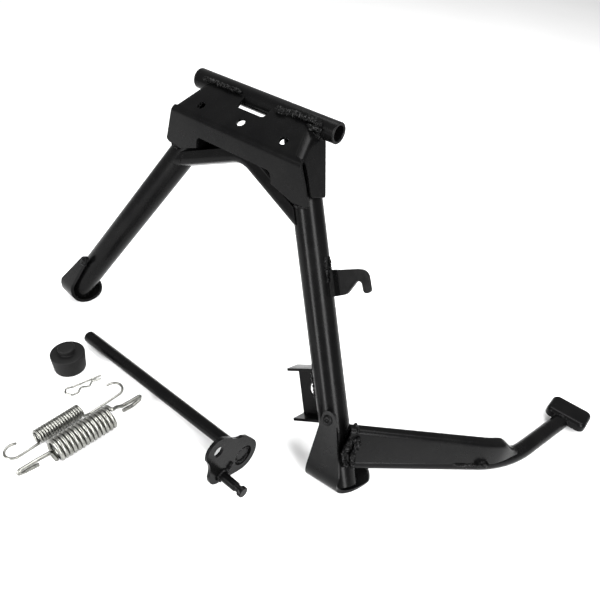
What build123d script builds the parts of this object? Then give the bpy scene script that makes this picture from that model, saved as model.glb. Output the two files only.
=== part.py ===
"""Motorcycle centre stand with its pivot shaft, springs, hairpin clip and rubber stop.

The welded stand rests on its two shoes and its pedal pad. The hardware that
fits it lies on the same floor in front of it. X runs along the pivot, +Z is up,
the origin is the centre of the pivot bore, and the stand's front faces -Y.
"""

import os
from math import asin, atan2, ceil, cos, radians, sin, sqrt, tan

from build123d import *

os.makedirs("parts", exist_ok=True)

# Resting pose
lean = 21
pivot_height = 315
seat_gap = 0.2

# Pivot tube
pivot_length = 191
pivot_diameter = 22
pivot_bore = 15.6
pivot_edge_chamfer = 0.6

# Leg tubes
leg_diameter = 32
leg_wall = 2.5
leg_splay = 29.5
leg_spread = 90
leg_forward = 3
leg_top_drop = 9

# Folded front plate
plate_sheet = 3
plate_bend_forward = 40.5
plate_bend_drop = 33
plate_bend_radius = 7
plate_drop = 75.5
plate_wing_width = 205
plate_wing_drop = 71.5
plate_lobe_width = 164
plate_hole_pitch = 57
plate_hole_diameter = 10.5
plate_hole_from_bend = 13.6
window_width = 46
window_depth = 16
window_corner_radius = 4
arch_cut_width = 104
arch_cut_drop = 54
arch_cut_depth = 12.5
arch_cut_radius = 6

# Cheeks folded back from the front plate
cheek_splay = 24.2
cheek_drop = 62.5
cheek_back = 6.5
cheek_foot_back = 2
cheek_foot_width = 23.5
cheek_relief = 13.5
cheek_corner_radius = 3

# Arched channel between the legs
brace_apex_drop = 67.5
brace_slope = 22.5
brace_bend_radius = 34
brace_sheet = 3
brace_height = 16
brace_back_top_drop = 47
brace_corner_radius = 7

# Shoes
shoe_sheet = 4
shoe_clearance = 2
shoe_top_drop = 249
shoe_curl_height = 3
shoe_corner_radius = 6
right_shoe_top_width = 12
right_shoe_foot_width = 54
right_shoe_top_outset = 13
right_shoe_foot_outset = 13
left_shoe_top_width = 12
left_shoe_foot_width = 44
left_shoe_top_outset = 12
left_shoe_foot_outset = 20
plug_diameter = 9
plug_height = 3
plug_dimple = 4
plug_across = 196.6
plug_drop = 260.4

# Spring hook on the right leg
hook_sheet = 4
hook_from_pivot = 153
hook_root_height = 29
hook_root_forward = 3
hook_plate_forward = 8
hook_joggle_start = 22
hook_joggle_end = 31
hook_joggle_radius = 4
hook_reach = 64.8
hook_top_fall = 4
hook_nose_radius = 12
hook_finger_width = 8
hook_finger_drop = 26
hook_throat_drop = 14
hook_throat_width = 16
hook_throat_radius = 3.4

# Rubber stop's bracket on the right leg
stop_bracket_sheet = 3
stop_bracket_from_pivot = 262
stop_bracket_height = 46
stop_bracket_reach = 49
stop_bracket_past_leg = 6
stop_bracket_flange = 18
stop_bracket_bend_radius = 4
stop_bracket_corner_radius = 5
stop_hole_diameter = 20
stop_hole_reach = 26

# Foot lever's bar and pedal pad
bar_diameter = 19
bar_from_pivot = 349
bar_bend_across = 346
bar_bend_back = 12
bar_bend_height = 20
bar_bend_radius = 95
bar_end_height = 12
pad_width = 44
pad_depth = 24
pad_thickness = 18
pad_across = 376
pad_back = 145
pad_corner_radius = 5
pad_edge_radius = 1.5

# Channel along the top of the lever's bar
channel_sheet = 2.5
channel_foot_width = 24
channel_top_width = 12
channel_corner_radius = 4
channel_leg_height = 50
channel_far_height = 28
channel_length = 142
channel_nose_length = 13

# Pivot shaft with its spring plate, shown taken out
shaft_diameter = 14.6
shaft_across = 136.7
shaft_front = 170.9
shaft_far_across = -138.2
shaft_far_front = 164.8
shaft_tip_chamfer = 2
spring_plate_thickness = 6
hub_radius = 20
hub_hole = 24
ear_radius = 15.5
ear_hole = 12
ear_front = 32.5
ear_height = 35
lobe_radius = 14.5
lobe_front = 33
lobe_height = 3.5
shoulder_radius = 5
shoulder_back = 4
shoulder_height = 20.5
plate_dip_radius = 22
plate_dip_back = 5.2
plate_dip_height = 51
plate_waist_radius = 30
plate_waist_front = 75
plate_waist_height = 20.5
shaft_weld_recess = 2
stud_diameter = 12
stud_length = 27
stud_neck_diameter = 9
stud_neck_length = 5
stud_head_diameter = 15
stud_head_length = 5
stud_front = 31
stud_drop = 3

# Rubber stop
stop_diameter = 38
stop_height = 22
stop_rim_radius = 2
stop_neck_diameter = 17
stop_neck_height = 3
stop_nub_diameter = 20.5
stop_nub_height = 5
stop_across = -120.4
stop_front = 208.5

# Springs: both coils lie along Y on the floor
inner_wire = 2.65
inner_diameter = 16.8
inner_turns = 17.8
inner_across = -48.5
inner_far_across = -46.4
inner_front = 298.1
inner_far_front = 245.7
outer_wire = 3.8
outer_diameter = 24
outer_turns = 15
outer_across = -15.3
outer_far_across = -10.4
outer_front = 297.8
outer_far_front = 228.1

# Hairpin clip
clip_wire = 2.2
clip_bend_radius = 3.5

# Directions of the leaning stand, and the floor
up = Vector(0, sin(radians(lean)), cos(radians(lean)))
back = Vector(0, cos(radians(lean)), -sin(radians(lean)))
side = Vector(1, 0, 0)
floor = -pivot_height
splay = radians(leg_splay)
leg_radius = leg_diameter / 2
pivot_radius = pivot_diameter / 2


def spot(across, behind, above):
    """A point given across, behind and above the pivot in the leaning stand."""
    return side * across + back * behind + up * above


def ground(across, front, height):
    """A point given across and in front of the pivot, and above the floor."""
    return Vector(across, -front, floor + height)


def side_plane(across):
    """Plane square to the pivot: its x is behind, its y is above."""
    return Plane(origin=spot(across, 0, 0), x_dir=back, z_dir=side)


def front_plane(behind):
    """Plane of the stand's front view: its x is across, its y is above, its normal is forward."""
    return Plane(origin=spot(0, behind, 0), x_dir=side, z_dir=-back)


def leg_centre_across(above):
    """Distance of a leg's centre line from the middle, at a height in the stand."""
    return leg_spread / 2 - above * tan(splay)


def finish(piece, name):
    """Label a piece and write it."""
    piece.label = name
    export_step(piece, f"parts/{name}.step")


# The right leg's own planes: out from the leg, and down along it
leg_down = spot(sin(splay), 0, -cos(splay))
leg_out = spot(cos(splay), 0, sin(splay))
leg_start = spot(leg_spread / 2, -leg_forward, 0)
leg_section = Plane(origin=leg_start, x_dir=leg_out, z_dir=leg_down)
leg_face = Plane(origin=leg_start, x_dir=leg_out, z_dir=-back)

# Shoe: a sheet bent to a J around the leg's end, resting on the floor
shoe_inner = leg_radius + shoe_clearance
shoe_outer = shoe_inner + shoe_sheet
shoe_behind = shoe_clearance - leg_forward - seat_gap
shoe_above = (floor + shoe_outer + shoe_behind * sin(radians(lean))) / cos(radians(lean))
shoe_bottom = shoe_above - shoe_outer

# Front plate: the upper facet lies tangent on the pivot tube, the lower one ends on the legs
bend = Vector(-plate_bend_forward, -plate_bend_drop)
facet_offset = pivot_radius + seat_gap + plate_sheet
facet_angle = atan2(plate_bend_drop, plate_bend_forward) + asin(facet_offset / bend.length)
facet_length = sqrt(bend.length**2 - facet_offset**2)
facet_up = Vector(cos(facet_angle), sin(facet_angle))
facet_top = Vector(-sin(facet_angle), cos(facet_angle)) * facet_offset
seat = Vector(-leg_forward - leg_radius - seat_gap, -plate_drop) - bend
seat_angle = atan2(seat.Y, seat.X) - asin(plate_sheet / seat.length)
plate_foot = bend + Vector(cos(seat_angle), sin(seat_angle)) * (seat.length + plate_sheet)

with BuildPart() as pivot_tube:
    with BuildSketch(side_plane(-pivot_length / 2)):
        Circle(pivot_radius)
        Circle(pivot_bore / 2, mode=Mode.SUBTRACT)
    extrude(amount=pivot_length)
    chamfer(pivot_tube.edges().filter_by(GeomType.CIRCLE), pivot_edge_chamfer)
finish(pivot_tube.part, "pivot_tube")

# Solid of the pivot tube's outside, for the ends that are coped onto it
with BuildPart() as pivot_core:
    with BuildSketch(side_plane(-pivot_length)):
        Circle(pivot_radius + seat_gap)
    extrude(amount=2 * pivot_length)

# Solids of the legs' outsides, for what is coped onto them
with BuildPart() as right_leg_core:
    with BuildSketch(leg_section):
        Circle(leg_radius + seat_gap)
    extrude(amount=1.2 * pivot_height)
with BuildPart() as left_leg_core:
    mirror(right_leg_core.part, about=Plane.YZ)

# Right cheek: the folded plate's side view, sliced by two slanted lines of the front view
cheek_slope = tan(radians(cheek_splay))
cheek_width = plate_sheet / cos(radians(cheek_splay))
cheek_foot_across = leg_centre_across(-cheek_drop) + (leg_radius + seat_gap) / cos(splay) + cheek_width


def cheek_across(above):
    """Outer face of the right cheek at a height in the stand."""
    return cheek_foot_across - (above + cheek_drop) * cheek_slope


with BuildPart() as right_cheek:
    with BuildSketch(side_plane(0)):
        with BuildLine():
            FilletPolyline(
                (cheek_back, 0),
                facet_top,
                bend,
                (-plate_bend_forward + cheek_relief, -plate_bend_drop - 1),
                (cheek_foot_back - cheek_foot_width, -cheek_drop),
                (cheek_foot_back, -cheek_drop),
                (cheek_back, -leg_top_drop - pivot_radius / 2),
                radius=[0, 0, plate_bend_radius, 0, cheek_corner_radius, cheek_corner_radius, 0],
                close=True,
            )
        make_face()
    extrude(amount=2 * cheek_foot_across)
    with BuildSketch(front_plane(0)):
        with BuildLine():
            Polyline(
                (cheek_across(-cheek_drop), -cheek_drop),
                (cheek_across(pivot_radius), pivot_radius),
                (cheek_across(pivot_radius) - cheek_width, pivot_radius),
                (cheek_across(-cheek_drop) - cheek_width, -cheek_drop),
                close=True,
            )
        make_face()
    extrude(amount=2 * plate_bend_forward, both=True, mode=Mode.INTERSECT)

with BuildPart() as front_plate:
    # Folded sheet, bent once across the stand
    with BuildSketch(side_plane(-plate_wing_width)):
        with BuildLine():
            FilletPolyline(facet_top, bend, plate_foot, radius=plate_bend_radius)
            offset(amount=plate_sheet, side=Side.LEFT)
        make_face()
    extrude(amount=2 * plate_wing_width)
    # Outline seen from the front, with the arch between its two lobes
    with BuildSketch(front_plane(0)):
        with BuildLine():
            FilletPolyline(
                (0, facet_top.Y + 1),
                (cheek_across(facet_top.Y + 1), facet_top.Y + 1),
                (cheek_across(-plate_bend_drop), -plate_bend_drop),
                (plate_wing_width / 2, -plate_wing_drop),
                (plate_wing_width / 2 - 4, -plate_drop + 1.5),
                (plate_lobe_width / 2, -plate_drop),
                (arch_cut_width / 2 + 2, -arch_cut_drop - arch_cut_depth),
                (arch_cut_width / 2, -arch_cut_drop),
                (0, -arch_cut_drop),
                radius=[0, 0, 2, 2, 5, 2, arch_cut_radius],
            )
            mirror(about=Plane.YZ)
        make_face()
    extrude(amount=2 * plate_bend_forward, both=True, mode=Mode.INTERSECT)
    # Cheeks, coped round the pivot tube
    add(right_cheek.part)
    mirror(right_cheek.part, about=Plane.YZ)
    add(pivot_core.part, mode=Mode.SUBTRACT)
    # Holes and window in the upper facet
    facet_normal = back * -sin(facet_angle) + up * cos(facet_angle)
    facet_plane = Plane(origin=spot(0, bend.X, bend.Y), x_dir=side, z_dir=facet_normal)
    with BuildSketch(facet_plane):
        with Locations((0, plate_hole_from_bend)):
            with GridLocations(plate_hole_pitch, 0, 3, 1):
                Circle(plate_hole_diameter / 2)
        with Locations((0, facet_length)):
            RectangleRounded(window_width, 2 * window_depth, window_corner_radius)
    extrude(amount=-2 * plate_sheet, mode=Mode.SUBTRACT)
finish(front_plate.part, "front_plate")

# Legs: coped under the pivot tube, rounded at the foot to sit in the shoes
with BuildPart() as foot_trim:
    with BuildSketch(side_plane(0)):
        with Locations((shoe_behind, shoe_above)):
            Rectangle(4 * shoe_outer, 4 * shoe_outer, align=(Align.CENTER, Align.MAX))
            Circle(shoe_inner - seat_gap, mode=Mode.SUBTRACT)
    extrude(amount=2 * pivot_height)

with BuildPart() as right_leg:
    with BuildSketch(leg_section):
        Circle(leg_radius)
        Circle(leg_radius - leg_wall, mode=Mode.SUBTRACT)
    extrude(amount=1.2 * pivot_height)
    split(bisect_by=Plane(origin=spot(0, 0, -leg_top_drop), z_dir=up), keep=Keep.BOTTOM)
    add(pivot_core.part, mode=Mode.SUBTRACT)
    add(foot_trim.part, mode=Mode.SUBTRACT)
finish(right_leg.part, "right_leg")

with BuildPart() as left_leg:
    mirror(right_leg.part, about=Plane.YZ)
finish(left_leg.part, "left_leg")

# Arched channel, open at the top, with a taller back wall
brace_corner_drop = brace_apex_drop - brace_bend_radius * (1 / cos(radians(brace_slope)) - 1)
brace_reach = leg_centre_across(-2 * brace_apex_drop)
brace_end_drop = brace_corner_drop + brace_reach * tan(radians(brace_slope))
brace_front = leg_forward + leg_radius
with BuildPart() as arch_brace:
    with BuildLine(front_plane(0)) as arch:
        FilletPolyline(
            (-brace_reach, -brace_end_drop),
            (0, -brace_corner_drop),
            (brace_reach, -brace_end_drop),
            radius=brace_bend_radius,
        )
    with BuildSketch(Plane(origin=arch.line @ 0, x_dir=back, z_dir=arch.line % 0)):
        with BuildLine():
            FilletPolyline(
                (-brace_front, brace_height),
                (-brace_front, 0),
                (leg_radius - leg_forward, 0),
                (leg_radius - leg_forward, 2 * brace_apex_drop),
                radius=brace_corner_radius,
            )
            offset(amount=brace_sheet, side=Side.LEFT)
        make_face()
    sweep(path=arch.line)
    # Trimmed level at the back and on the legs
    with BuildSketch(front_plane(0)):
        low = -brace_end_drop
        inset = leg_radius / 2
        with BuildLine():
            Polyline(
                (leg_centre_across(low) - inset, low),
                (leg_centre_across(-brace_back_top_drop) - inset, -brace_back_top_drop),
                (inset - leg_centre_across(-brace_back_top_drop), -brace_back_top_drop),
                (inset - leg_centre_across(low), low),
                close=True,
            )
        make_face()
    extrude(amount=2 * leg_diameter, both=True, mode=Mode.INTERSECT)
    add([right_leg_core.part, left_leg_core.part], mode=Mode.SUBTRACT)
finish(arch_brace.part, "arch_brace")

# Shoes: the same bend, each with its own outline in the front view
with BuildPart() as shoe_sheet_bend:
    with BuildSketch(side_plane(0)):
        with BuildLine():
            front_limb = Line(
                (shoe_behind - shoe_outer, -shoe_top_drop),
                (shoe_behind - shoe_outer, shoe_above),
            )
            curl = CenterArc((shoe_behind, shoe_above), shoe_outer, 180, 180)
            Line(curl @ 1, curl @ 1 + Vector(0, shoe_curl_height))
            offset(amount=shoe_sheet, side=Side.LEFT)
        make_face()
    extrude(amount=2 * pivot_height)


def shoe_outline(top_width, foot_width, top_outset, foot_outset):
    """Front view of the right shoe, wider at the floor than at the top."""
    top = leg_centre_across(-shoe_top_drop) + top_outset
    foot = leg_centre_across(shoe_bottom) + foot_outset
    with BuildSketch(front_plane(0)) as outline:
        with BuildLine():
            FilletPolyline(
                (foot - foot_width, shoe_bottom),
                (top - top_width, -shoe_top_drop),
                (top, -shoe_top_drop),
                (foot, shoe_bottom),
                radius=[0, shoe_corner_radius * 0.95, shoe_corner_radius * 0.8, 0],
                close=True,
            )
        make_face()
    return outline.sketch


with BuildPart() as right_shoe:
    add(shoe_sheet_bend.part)
    outline = shoe_outline(
        right_shoe_top_width, right_shoe_foot_width, right_shoe_top_outset, right_shoe_foot_outset
    )
    extrude(outline, amount=2 * shoe_outer, both=True, mode=Mode.INTERSECT)
finish(right_shoe.part, "right_shoe")

with BuildPart() as left_shoe_mirrored:
    add(shoe_sheet_bend.part)
    outline = shoe_outline(
        left_shoe_top_width, left_shoe_foot_width, left_shoe_top_outset, left_shoe_foot_outset
    )
    extrude(outline, amount=2 * shoe_outer, both=True, mode=Mode.INTERSECT)
with BuildPart() as left_shoe:
    mirror(left_shoe_mirrored.part, about=Plane.YZ)
finish(left_shoe.part, "left_shoe")

# Plugs on the fronts of the shoes, each with a dimple
with BuildPart() as shoe_plugs:
    with BuildSketch(front_plane(shoe_behind - shoe_outer)):
        with Locations((plug_across, -plug_drop), (-plug_across, -plug_drop)):
            Circle(plug_diameter / 2)
    extrude(amount=plug_height)
    fillet(shoe_plugs.faces().sort_by(Axis(origin=(0, 0, 0), direction=-back))[-1].edges(), 1)
    with BuildSketch(front_plane(shoe_behind - shoe_outer - plug_height)):
        with Locations((plug_across, -plug_drop), (-plug_across, -plug_drop)):
            Circle(plug_dimple / 2)
    extrude(amount=-plug_height / 2, mode=Mode.SUBTRACT)
finish(shoe_plugs.part, "shoe_plugs")

# Spring hook: a joggled strip welded to the right leg, with a downward finger
with BuildPart() as spring_hook:
    with BuildSketch(leg_section.offset(hook_from_pivot - hook_root_height)):
        with BuildLine():
            FilletPolyline(
                (0, hook_root_forward),
                (hook_joggle_start, hook_root_forward),
                (hook_joggle_end, hook_plate_forward),
                (2 * hook_reach, hook_plate_forward),
                radius=hook_joggle_radius,
            )
            offset(amount=hook_sheet, side=Side.RIGHT)
        make_face()
    extrude(amount=3 * hook_root_height)
    with BuildSketch(leg_face):
        finger = hook_reach - hook_finger_width
        throat = finger - hook_throat_width / 4
        with BuildLine():
            FilletPolyline(
                (0, -hook_from_pivot),
                (hook_reach - hook_nose_radius, -hook_from_pivot - hook_top_fall / 2),
                (hook_reach - 1, -hook_from_pivot - hook_top_fall),
                (hook_reach, -hook_from_pivot - hook_finger_drop),
                (finger, -hook_from_pivot - hook_finger_drop),
                (finger - 1, -hook_from_pivot - hook_throat_drop),
                (throat - 2, -hook_from_pivot - hook_throat_drop),
                (finger - hook_throat_width - 3, -hook_from_pivot - hook_finger_drop),
                (0, -hook_from_pivot - hook_root_height - 1),
                radius=[0, 4, 9.5, 3.6, 3.6, hook_throat_radius, 3, 6, 0],
                close=True,
            )
        make_face()
    extrude(amount=2 * leg_diameter, both=True, mode=Mode.INTERSECT)
    add(right_leg_core.part, mode=Mode.SUBTRACT)
finish(spring_hook.part, "spring_hook")

# Stop bracket: a channel with its web behind the right leg
with BuildPart() as stop_bracket:
    web = leg_radius + seat_gap
    lip = stop_bracket_flange - web - stop_bracket_sheet
    with BuildSketch(Plane(origin=leg_start - leg_out * stop_bracket_reach, x_dir=-back, z_dir=leg_out)):
        with BuildLine():
            FilletPolyline(
                (lip, stop_bracket_from_pivot),
                (-web - stop_bracket_sheet, stop_bracket_from_pivot),
                (-web - stop_bracket_sheet, stop_bracket_from_pivot + stop_bracket_height),
                (lip, stop_bracket_from_pivot + stop_bracket_height),
                radius=stop_bracket_bend_radius,
            )
            offset(amount=stop_bracket_sheet, side=Side.LEFT)
        make_face()
    extrude(amount=stop_bracket_reach + stop_bracket_past_leg)
    add(right_leg_core.part, mode=Mode.SUBTRACT)
    with BuildSketch(leg_face):
        with Locations((-stop_hole_reach, -stop_bracket_from_pivot - stop_bracket_height / 2)):
            Circle(stop_hole_diameter / 2)
    extrude(amount=-2 * leg_diameter, mode=Mode.SUBTRACT)
finish(stop_bracket.part, "stop_bracket")

# Pedal pad, lying flat on the floor
with BuildPart() as pedal_pad:
    with BuildSketch(Plane.XY.offset(floor)):
        with Locations((pad_across, pad_back)):
            RectangleRounded(pad_width, pad_depth, pad_corner_radius)
    extrude(amount=pad_thickness)
    fillet(pedal_pad.faces().sort_by(Axis.Z)[-1].edges(), pad_edge_radius)
finish(pedal_pad.part, "pedal_pad")

# Lever bar: from the right leg, bent back to the pad
bar_start = leg_start + leg_down * bar_from_pivot
bar_bend = ground(bar_bend_across, -bar_bend_back, bar_bend_height)
bar_end = ground(pad_across, -pad_back, bar_end_height)
bar_way = (bar_bend - bar_start).normalized()
with BuildPart() as bar_core:
    with BuildLine() as bar_line:
        FilletPolyline(bar_start, bar_bend, bar_end, radius=bar_bend_radius)
    with BuildSketch(Plane(origin=bar_start, z_dir=bar_way)):
        Circle(bar_diameter / 2 + seat_gap)
    sweep(path=bar_line.line)
with BuildPart() as lever_bar:
    with BuildSketch(Plane(origin=bar_start, z_dir=bar_way)):
        Circle(bar_diameter / 2)
    sweep(path=bar_line.line)
    pad_face = Plane(origin=(0, pad_back - pad_depth / 2 - seat_gap, 0), z_dir=(0, 1, 0))
    split(bisect_by=pad_face, keep=Keep.BOTTOM)
    add(right_leg_core.part, mode=Mode.SUBTRACT)
finish(lever_bar.part, "lever_bar")


def channel_section(along, foot_width, top_width, height, foot):
    """Rounded trapezium across the lever's bar, with its foot at the bar's centre."""
    across_bar = bar_way.cross(Vector(0, 0, 1)).normalized()
    with BuildSketch(Plane(origin=bar_start + bar_way * along, x_dir=across_bar, z_dir=-bar_way)) as section:
        with BuildLine():
            FilletPolyline(
                (-foot_width / 2, foot),
                (-top_width / 2, height),
                (top_width / 2, height),
                (foot_width / 2, foot),
                radius=[0, 0.4 * top_width, 0.4 * top_width, 0],
                close=True,
            )
        make_face()
    return section.sketch


with BuildPart() as channel_hollow:
    wall = 2 * channel_sheet
    loft(
        [
            channel_section(
                -1, channel_foot_width - wall, channel_top_width - wall, channel_leg_height - channel_sheet, -1
            ),
            channel_section(
                channel_length - 1,
                channel_foot_width - wall,
                channel_top_width - wall,
                channel_far_height - channel_sheet,
                -1,
            ),
            channel_section(
                channel_length + channel_nose_length - channel_sheet,
                channel_foot_width - wall - 1,
                channel_top_width - wall,
                bar_diameter / 2 - channel_sheet,
                -1,
            ),
        ],
        ruled=True,
    )

with BuildPart() as lever_channel:
    end = channel_length + channel_nose_length
    loft(
        [
            channel_section(0, channel_foot_width, channel_top_width, channel_leg_height, 0),
            channel_section(channel_length, channel_foot_width, channel_top_width, channel_far_height, 0),
            channel_section(end, channel_foot_width - 1, channel_top_width, bar_diameter / 2 + 1, 0),
        ],
        ruled=True,
    )
    add([channel_hollow.part, bar_core.part, right_leg_core.part], mode=Mode.SUBTRACT)
finish(lever_channel.part, "lever_channel")

# Pivot shaft: its far end on the floor, its near end held up by the spring plate's hub
shaft_far = ground(shaft_far_across, shaft_far_front, shaft_diameter / 2 + seat_gap)
shaft_near = ground(shaft_across, shaft_front, hub_radius + seat_gap)
shaft_way = (shaft_near - shaft_far).normalized()
plate_across = shaft_way.cross(Vector(0, 0, 1)).normalized() * -1
hub_back_plane = Plane(
    origin=shaft_near - shaft_way * spring_plate_thickness, x_dir=plate_across, z_dir=shaft_way
)
hub_face_plane = Plane(origin=shaft_near, x_dir=plate_across, z_dir=shaft_way)
with BuildPart() as pivot_shaft:
    with BuildSketch(Plane(origin=shaft_far, x_dir=plate_across, z_dir=shaft_way)):
        Circle(shaft_diameter / 2)
    extrude(amount=(shaft_near - shaft_far).length - shaft_weld_recess)
    chamfer(pivot_shaft.edges().filter_by(GeomType.CIRCLE).sort_by(Axis.X)[0], shaft_tip_chamfer)
finish(pivot_shaft.part, "pivot_shaft")

# Spring plate: hub, ear and stud lobe in one outline, with a dip and a waist
with BuildPart() as spring_plate:
    with BuildSketch(hub_back_plane):
        Circle(hub_radius)
        with Locations((-ear_front, ear_height)):
            Circle(ear_radius)
        with Locations((-lobe_front, lobe_height)):
            Circle(lobe_radius)
        with Locations((shoulder_back, shoulder_height)):
            Circle(shoulder_radius)
        make_hull()
        with Locations((plate_dip_back, plate_dip_height)):
            Circle(plate_dip_radius, mode=Mode.SUBTRACT)
        with Locations((-plate_waist_front, plate_waist_height)):
            Circle(plate_waist_radius, mode=Mode.SUBTRACT)
        Circle(hub_hole / 2, mode=Mode.SUBTRACT)
        with Locations((-ear_front, ear_height)):
            Circle(ear_hole / 2, mode=Mode.SUBTRACT)
    extrude(amount=spring_plate_thickness)
finish(spring_plate.part, "spring_plate")

with BuildPart() as shaft_weld:
    with BuildSketch(hub_back_plane):
        Circle(hub_hole / 2)
        Circle(shaft_diameter / 2, mode=Mode.SUBTRACT)
    extrude(amount=spring_plate_thickness - shaft_weld_recess)
finish(shaft_weld.part, "shaft_weld")

# Stud: turned in one with its neck and head
with BuildPart() as spring_stud:
    stud_base = hub_face_plane.from_local_coords(Vector(-stud_front, -stud_drop, 0))
    neck = stud_length + stud_neck_length
    with BuildSketch(Plane(origin=stud_base, x_dir=shaft_way, z_dir=plate_across)):
        with BuildLine():
            Polyline(
                (0, 0),
                (0, stud_diameter / 2),
                (stud_length, stud_diameter / 2),
                (stud_length, stud_neck_diameter / 2),
                (neck, stud_neck_diameter / 2),
                (neck, stud_head_diameter / 2),
                (neck + stud_head_length, stud_head_diameter / 2),
                (neck + stud_head_length, 0),
                close=True,
            )
        make_face()
    revolve(axis=Axis(origin=stud_base, direction=shaft_way))
finish(spring_stud.part, "spring_stud")

# Rubber stop: a round buffer with the necked nub that its bracket's hole takes
with BuildPart() as rubber_stop:
    stop_middle = ground(stop_across, stop_front, 0)
    with BuildSketch(Plane(origin=stop_middle, x_dir=side, z_dir=(0, -1, 0))):
        with BuildLine():
            FilletPolyline(
                (0, 0),
                (stop_diameter / 2, 0),
                (stop_diameter / 2, stop_height),
                (stop_neck_diameter / 2, stop_height),
                (stop_neck_diameter / 2, stop_height + stop_neck_height),
                (stop_nub_diameter / 2, stop_height + stop_neck_height),
                (stop_nub_diameter / 2, stop_height + stop_neck_height + stop_nub_height),
                (0, stop_height + stop_neck_height + stop_nub_height),
                radius=[0, stop_rim_radius, stop_rim_radius, 0, 0, 1, stop_rim_radius, 0],
                close=True,
            )
        make_face()
    revolve(axis=Axis(origin=stop_middle, direction=(0, 0, 1)))
finish(rubber_stop.part, "rubber_stop")


def coil_spring(near, far, wire, outside, turns, near_hook, far_hook, bends):
    """Close-wound spring along a line, each end drawn out into a hook, all one wire."""
    mean = (outside - wire) / 2
    coil_plane = Plane(origin=near, x_dir=(0, 0, -1), z_dir=far - near)
    coil = coil_plane * Helix((far - near).length / turns, (far - near).length, mean)
    with BuildPart() as spring:
        with BuildLine() as path:
            add(coil)
            FilletPolyline(coil @ 0, coil @ 0 - coil % 0 * 1.5 * wire, *near_hook, radius=bends)
            FilletPolyline(coil @ 1, coil @ 1 + coil % 1 * 1.5 * wire, *far_hook, radius=bends)
        whole = path.wires()[0]
        with BuildSketch(Plane(origin=whole @ 0, z_dir=whole % 0)):
            Circle(wire / 2)
        sweep(path=whole)
    return spring.part


low = inner_wire / 2
finish(
    coil_spring(
        ground(inner_across, inner_front, inner_diameter / 2),
        ground(inner_far_across, inner_far_front, inner_diameter / 2),
        inner_wire,
        inner_diameter,
        inner_turns,
        [
            ground(-46.3, 328.5, low),
            ground(-58, 333.3, low),
            ground(-68.5, 323, low),
            ground(-63.4, 313.6, low),
        ],
        [
            ground(-37, 194, low),
            ground(-49, 184.5, low),
            ground(-62, 187.5, low),
            ground(-63.4, 197, low),
        ],
        [inner_wire, inner_wire, 6, 6],
    ),
    "inner_spring",
)
finish(
    coil_spring(
        ground(outer_across, outer_front, outer_diameter / 2),
        ground(outer_far_across, outer_far_front, outer_diameter / 2),
        outer_wire,
        outer_diameter,
        outer_turns,
        [
            ground(-15, 334, 20),
            ground(-15, 338, 19),
            ground(-15, 336, 16.5),
            ground(-15, 317, 10.3),
        ],
        [
            ground(-11.5, 218, 10),
            ground(-11.5, 200, 4.2),
            ground(-11.5, 184, 8.8),
            ground(-11.5, 213.3, 14.4),
        ],
        [outer_wire, outer_wire, 1.2, 1.2],
    ),
    "outer_spring",
)

# Hairpin clip: one leg straight, the other waved to grip
clip_height = clip_wire / 2
with BuildPart() as hairpin_clip:
    with BuildLine() as clip_line:
        FilletPolyline(
            ground(-81, 192.5, clip_height),
            ground(-89, 226.5, clip_height),
            ground(-93, 233.5, clip_height),
            ground(-87, 238.5, clip_height),
            ground(-78.5, 234.5, clip_height),
            ground(-77, 227.3, clip_height),
            ground(-82.5, 220.3, clip_height),
            ground(-75.8, 213, clip_height),
            ground(-80.9, 205.8, clip_height),
            ground(-76.2, 196, clip_height),
            radius=clip_bend_radius,
        )
    with BuildSketch(Plane(origin=clip_line.line @ 0, z_dir=clip_line.line % 0)):
        Circle(clip_wire / 2)
    sweep(path=clip_line.line)
finish(hairpin_clip.part, "hairpin_clip")
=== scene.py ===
"""Looks of the motorcycle centre stand and its laid-out hardware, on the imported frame.

The pieces made here are drawn in millimetres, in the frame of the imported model: X runs
along the pivot, Z is up and the origin is the centre of the pivot bore.
"""

import math

import bmesh
import bpy
from mathutils import Matrix, Vector, noise


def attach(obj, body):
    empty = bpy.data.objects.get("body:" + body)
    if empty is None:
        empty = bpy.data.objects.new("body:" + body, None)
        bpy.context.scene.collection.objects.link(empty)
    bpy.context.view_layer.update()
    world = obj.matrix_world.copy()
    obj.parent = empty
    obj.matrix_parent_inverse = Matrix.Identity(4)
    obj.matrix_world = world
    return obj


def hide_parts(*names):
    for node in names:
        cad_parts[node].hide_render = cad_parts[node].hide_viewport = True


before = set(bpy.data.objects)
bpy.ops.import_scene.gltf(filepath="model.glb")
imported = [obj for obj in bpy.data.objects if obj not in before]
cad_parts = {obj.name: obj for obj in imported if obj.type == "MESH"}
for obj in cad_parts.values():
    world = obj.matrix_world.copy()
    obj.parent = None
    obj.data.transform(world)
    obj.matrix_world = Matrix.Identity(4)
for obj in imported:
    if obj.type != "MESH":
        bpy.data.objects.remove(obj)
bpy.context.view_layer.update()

MM = 0.001

# Camera of the photograph, in metres and degrees
CAMERA_PLACE = Vector((0.4071, -0.4608, 0.2440))
CAMERA_LOOK = Vector((-0.4605, 0.6236, -0.6320))
CAMERA_ROLL = 5.14
CAMERA_LENS = 36.65
CAMERA_SENSOR = 36.0

# Pose of the stand on the floor
LEAN = math.radians(21)
FLOOR = -315
GAP = 0.2

# Pivot tube and legs
TUBE_RADIUS = 11
LEG_RADIUS = 16
LEG_SPLAY = math.radians(29.5)
LEG_SPREAD = 45
LEG_FORWARD = 3
LEG_LENGTH = 377
LEG_WALL = 2.5
LEG_TOP_DROP = 9

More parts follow.
